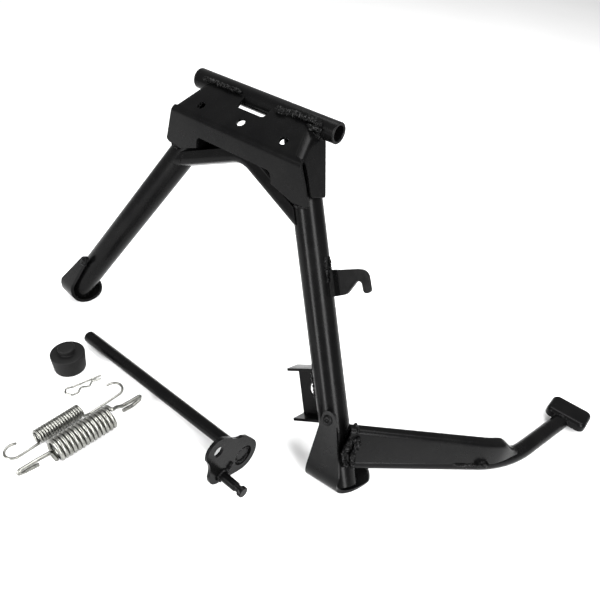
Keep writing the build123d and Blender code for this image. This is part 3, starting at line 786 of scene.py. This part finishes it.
def channel(name):
    """The pressed channel over the bar: high at the leg, dying away onto the bar."""
    rings = []
    hollow = []
    for point, way, along in along_line(bar_line(), CHANNEL_NEAR, CHANNEL_FAR, CHANNEL_STEPS):
        share = (along - CHANNEL_NEAR) / (CHANNEL_FAR - CHANNEL_NEAR)
        height = along_channel(CHANNEL_HEIGHT, share)
        foot = along_channel(CHANNEL_FOOT_WIDTH, share)
        top = along_channel(CHANNEL_TOP_WIDTH, share)
        low = along_channel(CHANNEL_EDGE_HEIGHT, share)
        across = way.cross(Vector((0, 0, 1))).normalized()
        rise = across.cross(way)
        for inset, target in ((0, rings), (CHANNEL_SHEET, hollow)):
            section = rounded(
                [
                    (-foot / 2 + inset, low - inset),
                    (-top / 2 + inset, height - inset),
                    (top / 2 - inset, height - inset),
                    (foot / 2 - inset, low - inset),
                ],
                [0, CHANNEL_CORNER - inset, CHANNEL_CORNER - inset, 0],
            )
            target.append([point + across * p.x + rise * p.y for p in section])
    piece = lofted(name, rings)
    combine(piece, lofted("hollow", hollow), "DIFFERENCE")
    return combine(piece, leg_cutter(), "DIFFERENCE")


def pad(name):
    """The pedal pad: a block with soft edges over the bar's end."""
    low = FLOOR + BAR_RADIUS - PAD_SINK
    high = FLOOR + PAD_HEIGHT
    levels = []
    for i in range(PAD_LOW_STEPS + 1):
        turn = math.pi / 2 * i / PAD_LOW_STEPS
        inset = PAD_LOW_EDGE * (1 - math.sin(turn))
        levels.append((inset, low + PAD_LOW_EDGE * (1 - math.cos(turn))))
    for i in range(PAD_TOP_STEPS + 1):
        turn = math.pi / 2 * i / PAD_TOP_STEPS
        inset = PAD_TOP_EDGE * (1 - math.cos(turn))
        levels.append((inset, high - PAD_TOP_EDGE * (1 - math.sin(turn))))
    levels.append((PAD_CROWN_INSET, high + PAD_CROWN))
    rings = []
    for inset, height in levels:
        x, y = PAD_HALF_WIDTH - inset, PAD_HALF_DEPTH - inset
        corners = [(-x, -y), (x, -y), (x, y), (-x, y)]
        outline = rounded(corners, max(PAD_CORNER - inset, 1.0), steps=8)
        rings.append([PAD_CENTRE + Vector((p.x, p.y, height)) for p in outline])
    return lofted(name, rings)


def stop(name):
    """The rubber stop: a drum a little wider at its top, with its neck and nub."""
    return turned(name, plane(STOP_PLACE, SIDE, (0, 0, 1)), STOP_PROFILE)


# Frame of the shaft and its spring plate
SHAFT_WAY = (SHAFT_NEAR - SHAFT_FAR).normalized()
PLATE_ACROSS = SHAFT_WAY.cross(Vector((0, 0, 1))).normalized() * -1
HUB_FACE = plane(SHAFT_NEAR, PLATE_ACROSS, SHAFT_WAY)


def shaft(name):
    """The pivot shaft, with a rounded far tip."""
    length = (SHAFT_NEAR - SHAFT_FAR).length - SHAFT_SHORT_OF_PLATE
    place = plane(SHAFT_FAR, PLATE_ACROSS, SHAFT_WAY)
    return turned(name, place, SHAFT_TIP + ((SHAFT_RADIUS, length),))


def thin_plate(name):
    """The shaft's spring plate at its true thickness, from the front of its solid."""
    copy = bpy.data.objects.new(name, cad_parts["spring_plate"].data.copy())
    bpy.context.scene.collection.objects.link(copy)
    keep = prism("keep", square(SPRING_PLATE_HALF), HUB_FACE, -SPRING_PLATE_SHEET, 5)
    return combine(copy, keep, "INTERSECT")


def stud(name):
    """The spring stud with its neck and head."""
    place = plane(HUB_FACE @ Vector((*STUD_PLACE, 0)), PLATE_ACROSS, SHAFT_WAY)
    return turned(name, place, STUD_PROFILE, steps=40)


def swept(name, line, radius, steps=14):
    """A round wire along a line, its sections carried along without twist."""
    side = (line[1] - line[0]).orthogonal().normalized()
    rings = []
    for i, point in enumerate(line):
        way = (line[min(i + 1, len(line) - 1)] - line[max(i - 1, 0)]).normalized()
        side = (side - way * side.dot(way)).normalized()
        other = way.cross(side)
        rings.append([point + side * p.x + other * p.y for p in circle(radius, steps=steps)])
    return lofted(name, rings)


def close_wound(start, end, radius, wire, turns):
    """Centre line of a close-wound coil that starts at its lowest point."""
    axis = end - start
    down = Vector((0, 0, -1))
    across = axis.normalized().cross(down)
    line = []
    count = int(turns * COIL_STEPS)
    for i in range(count + 1):
        angle = 2 * math.pi * turns * i / count
        out = down * math.cos(angle) + across * math.sin(angle)
        line.append(start + axis * (i / count) + out * (radius - wire / 2))
    return line


def led_out(coil):
    """The points where a coil's wire leaves it straight, before its start and past its end."""
    before = coil[0] - (coil[1] - coil[0]).normalized() * COIL_LEAD
    past = coil[-1] + (coil[-1] - coil[-2]).normalized() * COIL_LEAD
    return before, past


def outer_spring(name):
    """The outer return spring, one wire from hook to hook."""
    start = Vector((*OUTER_START, FLOOR + OUTER_RADIUS))
    end = Vector((*OUTER_END, FLOOR + OUTER_RADIUS))
    coil = close_wound(start, end, OUTER_RADIUS, OUTER_WIRE, OUTER_TURNS)
    before, past = led_out(coil)
    near = [Vector((x, y, FLOOR + height)) for x, y, height in OUTER_NEAR_HOOK]
    far = [Vector((x, y, FLOOR + height)) for x, y, height in OUTER_FAR_HOOK]
    lead = rounded(near + [before, coil[0]], OUTER_NEAR_BENDS, False, WIRE_BEND_STEPS)
    leave = rounded([coil[-1], past] + far, OUTER_FAR_BENDS, False, WIRE_BEND_STEPS)
    return swept(name, lead[:-1] + coil + leave[1:], OUTER_WIRE / 2)


def inner_spring(name):
    """The inner return spring, with round hooks lying on the floor."""
    start = Vector((*INNER_START, FLOOR + INNER_RADIUS))
    end = Vector((*INNER_END, FLOOR + INNER_RADIUS))
    coil = close_wound(start, end, INNER_RADIUS, INNER_WIRE, INNER_TURNS)
    before, past = led_out(coil)
    low = FLOOR + INNER_WIRE / 2

    def arc(x, y, size, first, last):
        points = []
        for i in range(INNER_HOOK_STEPS + 1):
            turn = math.radians(first + (last - first) * i / INNER_HOOK_STEPS)
            points.append(Vector((x + size * math.cos(turn), y + size * math.sin(turn), low)))
        return points

    near = arc(*INNER_NEAR_HOOK)
    far = arc(*INNER_FAR_HOOK)
    lead = rounded([near[-1], before, coil[0]], INNER_NEAR_BENDS, False, WIRE_BEND_STEPS)
    bend = Vector((*INNER_FAR_BEND, low))
    leave = rounded([coil[-1], past, bend, far[0]], INNER_FAR_BENDS, False, WIRE_BEND_STEPS)
    return swept(name, near[:-1] + lead[:-1] + coil + leave[1:-1] + far, INNER_WIRE / 2)


def bead(name, points, radius, seed):
    """A weld bead: a lumpy, rippled seam along a line of points."""
    line = rounded(points, BEAD_BEND, False, 4)
    total = sum((b - a).length for a, b in zip(line, line[1:]))
    count = max(int(total / BEAD_STEP), 8)
    rings = []
    for point, way, along in along_line(line, 0, total, count):
        share = along / total
        taper = math.sqrt(max(0.0, 1 - abs(2 * share - 1) ** 6)) * (1 - BEAD_END) + BEAD_END
        wave = 1 + BEAD_RIPPLE * math.sin(2 * math.pi * along / BEAD_PITCH + seed)
        place = plane(point, way.orthogonal(), way)
        ring = []
        for p in circle(1, steps=14):
            direction = place.to_3x3() @ p.to_3d()
            surface = point + direction * radius
            lump = noise.noise(surface * BEAD_LUMP_SCALE + Vector((seed, 0, 0)))
            size = radius * taper * (wave * BEAD_MEAN + BEAD_LUMP * lump)
            ring.append(point + direction * size)
        rings.append(ring)
    return lofted(name, rings)


def blob(name, place, size, seed, stretch=(1, 1, 1)):
    """A lump of weld metal."""
    bm = bmesh.new()
    bmesh.ops.create_icosphere(bm, subdivisions=4, radius=1)
    for vertex in bm.verts:
        way = vertex.co.normalized()
        lump = noise.noise(way * BLOB_LUMP_SCALE + Vector((seed, seed, 0)))
        lump += BLOB_FINE * noise.noise(way * BLOB_FINE_SCALE)
        stretched = Vector((way.x * stretch[0], way.y * stretch[1], way.z * stretch[2]))
        vertex.co = Vector(place) + stretched * (size * (1 + BLOB_LUMP * lump))
    return new_piece(name, bm)


def bar_spot(along, across, rise):
    """A point beside the first stretch of the lever's bar."""
    way = (BAR_BEND - BAR_START).normalized()
    side = Vector((way.y, -way.x, 0)).normalized()
    return BAR_START + way * along + side * across + side.cross(way) * rise


def leg_spot(along, turn, out=LEG_RADIUS):
    """A point on the right leg: down it, and turned from its outer side towards the front."""
    angle = math.radians(turn)
    return LEG_START + LEG_DOWN * along + (LEG_OUT * math.cos(angle) - BACK * math.sin(angle)) * out


def hub_ring(x, y, height, radius, count):
    """Points round a place on the face of the spring plate."""
    turns = [2 * math.pi * i / count for i in range(count)]
    return [
        HUB_FACE @ Vector((x + radius * math.cos(t), y + radius * math.sin(t), height)) for t in turns
    ]


def seams():
    """Every weld bead: name, points, radius and seed."""
    joint_back = -math.cos(PLATE_SEAT_ANGLE) * TUBE_RADIUS - 0.9
    joint_up = math.sin(PLATE_SEAT_ANGLE) * TUBE_RADIUS + 1.6

    def joint(across, rise=0.0):
        return spot(across, joint_back - 0.4 * rise, joint_up + rise)

    yield "weld_tube_left", [joint(-81), joint(-64, 0.8), joint(-46), joint(-24, 1)], 2.9, 1.0
    yield "weld_tube_right", [joint(24, 0.6), joint(36, -0.6), joint(50, 0.8), joint(66)], 3.2, 2.0
    yield "weld_tube_end", [joint(60, 1.0), joint(72, 1.4), joint(82, -1.5)], 3.6, 3.0
    cheek_back = cheek_across(-11) - 1
    yield "weld_cheek_top", [joint(80, -1), spot(cheek_back, -9, -8.5),
                             spot(cheek_back, 1, -11.5)], 3.4, 4.0
    wing = -PLATE_DROP
    front = -LEG_FORWARD - LEG_RADIUS
    yield "weld_wing", [spot(84, front - 1.5, wing - 1), spot(92, front - 2, wing - 0.5),
                        spot(99, front + 1.5, wing + 3)], 2.4, 5.0
    yield "weld_wing_left", [spot(-84, front - 1.5, wing - 1), spot(-92, front - 2, wing - 0.5),
                             spot(-99, front + 1.5, wing + 3)], 2.4, 6.0
    for side, word, seed in ((1, "right", 7.0), (-1, "left", 8.0)):
        points = []
        for above in (-80, -86, -92):
            points.append(spot(side * (leg_across(above) - 15.0), -LEG_FORWARD - 14, above))
        yield "weld_brace_" + word, points, 2.2, seed
    yield "weld_hook_front", [leg_spot(140, 14), leg_spot(152, 16), leg_spot(167, 14)], 2.2, 9.0
    yield "weld_hook_back", [leg_spot(140, -12), leg_spot(152, -10), leg_spot(167, -12)], 2.2, 10.0
    yield "weld_channel_front", [bar_spot(0, 7.5, 46), bar_spot(1, 8.5, 34), bar_spot(-1, 9.5, 20),
                                 bar_spot(2, 9.5, 6), bar_spot(4, 8.5, -4)], 3.0, 11.0
    yield "weld_channel_leg", [bar_spot(-6, 7, 42), bar_spot(-9, 9, 30), bar_spot(-10, 9, 14),
                               bar_spot(-6, 9, 0)], 3.4, 12.0
    yield "weld_channel_top", [bar_spot(-1, 6, 49), bar_spot(-2, 0, 51), bar_spot(-2, -6, 49)], 2.6, 13.0
    yield "weld_channel_foot", [bar_spot(112, 9.0, 6.0), bar_spot(128, 9.0, 6.0),
                                bar_spot(144, 8.4, 6.4)], 2.0, 14.0
    yield "weld_bracket", [leg_spot(256, 152), leg_spot(270, 150), leg_spot(286, 152)], 2.0, 15.0
    pad_front = BAR_END - (BAR_END - BAR_BEND).normalized() * 16
    ring = []
    for step in range(7):
        angle = math.pi * step / 6
        ring.append(pad_front + Vector((9.2 * math.cos(angle), 0.5, 9.2 * math.sin(angle))))
    yield "weld_pad", ring, 2.1, 16.0
    yield "weld_stud", hub_ring(*STUD_PLACE, 0.4, 5.6, 10), 2.3, 17.0
    run = [HUB_FACE @ Vector(p) for p in ((-24, -2, 0.6), (-19, 2, 0.6), (-16, 5, 0.6))]
    yield "weld_stud_run", run, 2.4, 18.0
    yield "weld_hub", hub_ring(0, 0, -2.2, 9.6, 12), 1.9, 19.0


def lumps():
    """Lumps of weld metal: name, place, size, seed and stretch."""
    yield "lump_tube", spot(76, -15, -2), 4.4, 21.0, (1.7, 0.9, 0.7)
    yield "lump_cheek", spot(cheek_across(-10) - 4, -10, -7), 4.6, 22.0, (1, 1.1, 0.9)
    yield "lump_window", spot(31, -14.5, 0.5), 3.6, 23.0, (1.7, 0.8, 0.6)
    yield "lump_channel_low", bar_spot(-5, 8, 4), 5.0, 24.0, (1, 1, 1.3)
    yield "lump_channel_high", bar_spot(-4, 5, 40), 4.6, 25.0, (1, 1, 1.2)
    yield "lump_channel_end", bar_spot(142, 6, 9), 4.2, 26.0, (2.4, 1.6, 0.7)
    yield "lump_stud", HUB_FACE @ Vector((-26, -4, 1)), 3.0, 27.0, (1, 1, 1)


def make_camera():
    """The photograph's viewpoint, with its slight roll."""
    data = bpy.data.cameras.new("camera")
    data.lens = CAMERA_LENS
    data.sensor_width = CAMERA_SENSOR
    data.clip_start = 0.01
    data.clip_end = 50
    camera = bpy.data.objects.new("camera", data)
    turn = CAMERA_LOOK.to_track_quat("-Z", "Y").to_matrix().to_4x4()
    roll = Matrix.Rotation(math.radians(CAMERA_ROLL), 4, "Z")
    camera.matrix_world = Matrix.Translation(CAMERA_PLACE) @ turn @ roll
    bpy.context.scene.collection.objects.link(camera)
    bpy.context.scene.camera = camera


def new_material(name):
    """An empty node material with its shader and its texture coordinates."""
    material = bpy.data.materials.new(name)
    material.use_nodes = True
    nodes = material.node_tree.nodes
    shader = nodes["Principled BSDF"]
    place = nodes.new("ShaderNodeTexCoord")
    return material, shader, place


def noise_node(material, place, scale, detail):
    """The values of a noise in the object's own space, in cycles per metre."""
    node = material.node_tree.nodes.new("ShaderNodeTexNoise")
    node.inputs["Scale"].default_value = scale
    node.inputs["Detail"].default_value = detail
    node.inputs["Roughness"].default_value = 0.55
    material.node_tree.links.new(place.outputs["Object"], node.inputs["Vector"])
    return node.outputs["Fac"]


def ramp(material, source, shares, colours, target):
    """Maps a 0-1 output through a ramp between two colours, into an input of the shader."""
    node = material.node_tree.nodes.new("ShaderNodeValToRGB")
    for element, position, colour in zip(node.color_ramp.elements, shares, colours):
        element.position = position
        element.color = colour
    links = material.node_tree.links
    links.new(source, node.inputs["Fac"])
    links.new(node.outputs["Color"], target)


def bump(material, source, strength, distance, after=None):
    """A bump node from a height output."""
    node = material.node_tree.nodes.new("ShaderNodeBump")
    node.inputs["Strength"].default_value = strength
    node.inputs["Distance"].default_value = distance
    material.node_tree.links.new(source, node.inputs["Height"])
    if after is not None:
        material.node_tree.links.new(after.outputs["Normal"], node.inputs["Normal"])
    return node


def soft_edges(material, radius):
    """Normals that round the edges by a small radius in metres."""
    node = material.node_tree.nodes.new("ShaderNodeBevel")
    node.samples = 4
    node.inputs["Radius"].default_value = radius
    return node


def greys(values):
    """Grey colours from values."""
    return [(value, value, value, 1) for value in values]


def black_paint():
    """Glossy black paint with a faint orange peel and an uneven sheen."""
    material, shader, place = new_material("black_paint")
    mottle = noise_node(material, place, *PAINT_MOTTLE)
    ramp(material, mottle, MIDDLE_SHARES, PAINT_COLOURS, shader.inputs["Base Color"])
    sheen = noise_node(material, place, *PAINT_SHEEN)
    ramp(material, sheen, PAINT_SHEEN_SHARES, greys(PAINT_ROUGHNESS), shader.inputs["Roughness"])
    edges = soft_edges(material, PAINT_EDGE)
    waves = noise_node(material, place, *PAINT_WAVES)
    peel = noise_node(material, place, *PAINT_PEEL)
    slow = bump(material, waves, *PAINT_WAVES_BUMP, edges)
    fine = bump(material, peel, *PAINT_PEEL_BUMP, slow)
    material.node_tree.links.new(fine.outputs["Normal"], shader.inputs["Normal"])
    shader.inputs["Specular IOR Level"].default_value = PAINT_SPECULAR
    return material


def zinc_wire():
    """Bright zinc-plated spring wire with faint drawing marks."""
    material, shader, place = new_material("zinc_wire")
    mottle = noise_node(material, place, *ZINC_MOTTLE)
    ramp(material, mottle, MIDDLE_SHARES, ZINC_COLOURS, shader.inputs["Base Color"])
    ramp(material, mottle, WIDE_SHARES, greys(ZINC_ROUGHNESS), shader.inputs["Roughness"])
    shader.inputs["Metallic"].default_value = 1.0
    grain = noise_node(material, place, *ZINC_GRAIN)
    marks = bump(material, grain, *ZINC_GRAIN_BUMP)
    material.node_tree.links.new(marks.outputs["Normal"], shader.inputs["Normal"])
    return material


def moulded_rubber():
    """Matt black moulded rubber with a fine grain."""
    material, shader, place = new_material("moulded_rubber")
    mottle = noise_node(material, place, *RUBBER_MOTTLE)
    ramp(material, mottle, MIDDLE_SHARES, RUBBER_COLOURS, shader.inputs["Base Color"])
    ramp(material, mottle, WIDE_SHARES, greys(RUBBER_ROUGHNESS), shader.inputs["Roughness"])
    shader.inputs["Specular IOR Level"].default_value = RUBBER_SPECULAR
    edges = soft_edges(material, RUBBER_EDGE)
    grain = noise_node(material, place, *RUBBER_GRAIN)
    skin = bump(material, grain, *RUBBER_GRAIN_BUMP, edges)
    material.node_tree.links.new(skin.outputs["Normal"], shader.inputs["Normal"])
    return material


def pale_floor():
    """Plain white studio floor."""
    material, shader, place = new_material("pale_floor")
    mottle = noise_node(material, place, *FLOOR_MOTTLE)
    ramp(material, mottle, MIDDLE_SHARES, FLOOR_COLOURS, shader.inputs["Base Color"])
    shader.inputs["Roughness"].default_value = FLOOR_ROUGHNESS
    shader.inputs["Specular IOR Level"].default_value = FLOOR_SPECULAR
    return material


def make_floor():
    """A large floor just under the shoes."""
    mesh = bpy.data.meshes.new("floor")
    height = FLOOR * MM - FLOOR_CLEARANCE
    mesh.from_pydata([(*corner, height) for corner in square(FLOOR_HALF)], [], [(0, 1, 2, 3)])
    mesh.materials.append(pale_floor())
    floor = bpy.data.objects.new("floor", mesh)
    bpy.context.scene.collection.objects.link(floor)


def soft_box(name, way, distance, size, power, target, along):
    """A light seen in the paint: it lies one way from its target and runs along another."""
    data = bpy.data.lights.new(name, "AREA")
    data.shape = "RECTANGLE"
    data.size, data.size_y = size
    data.energy = power
    light = bpy.data.objects.new(name, data)
    way = Vector(way).normalized()
    light.matrix_world = plane(Vector(target) * MM + way * distance, Vector(along).cross(way), way)
    bpy.context.scene.collection.objects.link(light)


def make_light():
    """White surroundings with two tall soft boxes, mirrored down the right leg, and one above."""
    world = bpy.data.worlds.new("world")
    bpy.context.scene.world = world
    world.use_nodes = True
    background = world.node_tree.nodes["Background"]
    background.inputs["Color"].default_value = (1, 1, 1, 1)
    background.inputs["Strength"].default_value = WORLD_LIGHT
    middle = LEG_START + LEG_DOWN * LEG_BOXES_AIM
    soft_box(*LEFT_BOX, middle, LEG_DOWN)
    soft_box(*RIGHT_BOX, middle, LEG_DOWN)
    soft_box(*TOP_BOX, (0, 0, 0), SIDE)
    bpy.context.scene.view_settings.view_transform = "Standard"


make_camera()
make_floor()
make_light()

paint = black_paint()
zinc = zinc_wire()
rubber = moulded_rubber()

finishes = {"outer_spring": zinc, "inner_spring": zinc, "hairpin_clip": zinc, "rubber_stop": rubber}
for node_name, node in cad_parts.items():
    node.data.materials.clear()
    node.data.materials.append(finishes.get(node_name, paint))


def painted(piece, *replaced):
    """Finish a black-painted piece."""
    return dress_piece(piece, paint, replaced)


right_cheek = cheek("plate_cheek_right")
left_cheek = mirror_piece(right_cheek, "plate_cheek_left")
painted(front_sheet("plate_facets"), "front_plate")
painted(right_cheek)
painted(left_cheek)
painted(brace("brace_channel"), "arch_brace")
right_shoe = shoe(
    "shoe_right", RIGHT_SHOE_HEIGHT, RIGHT_SHOE_TOP, RIGHT_SHOE_FOOT, RIGHT_SHOE_FLARES
)
painted(right_shoe, "right_shoe")
left_shoe = shoe("left_form", LEFT_SHOE_HEIGHT, LEFT_SHOE_TOP, LEFT_SHOE_FOOT, LEFT_SHOE_FLARES)
painted(mirror_piece(left_shoe, "shoe_left"), "left_shoe")
bpy.data.objects.remove(left_shoe)
right_leg = leg("leg_tube_right")
painted(mirror_piece(right_leg, "leg_tube_left"), "left_leg")
painted(right_leg, "right_leg")
painted(plug("plug_right", *RIGHT_PLUG), "shoe_plugs")
left_plug = plug("left_plug_form", *LEFT_PLUG)
painted(mirror_piece(left_plug, "plug_left"))
bpy.data.objects.remove(left_plug)
painted(bracket("stop_bracket_channel"), "stop_bracket")
painted(bar("lever_round_bar"), "lever_bar")
painted(channel("lever_pressing"), "lever_channel")
painted(pad("pedal_block"), "pedal_pad")
painted(shaft("shaft_rod"), "pivot_shaft")
painted(thin_plate("spring_plate_thin"), "spring_plate")
painted(stud("stud_turned"), "spring_stud")
dress_piece(stop("stop_drum"), rubber, ("rubber_stop",))
dress_piece(outer_spring("spring_outer_coil"), zinc, ("outer_spring",))
dress_piece(inner_spring("spring_inner_coil"), zinc, ("inner_spring",))

for seam_name, seam_points, seam_radius, seam_seed in seams():
    painted(bead(seam_name, seam_points, seam_radius, seam_seed))
for lump_name, lump_place, lump_size, lump_seed, lump_stretch in lumps():
    painted(blob(lump_name, lump_place, lump_size, lump_seed, lump_stretch))
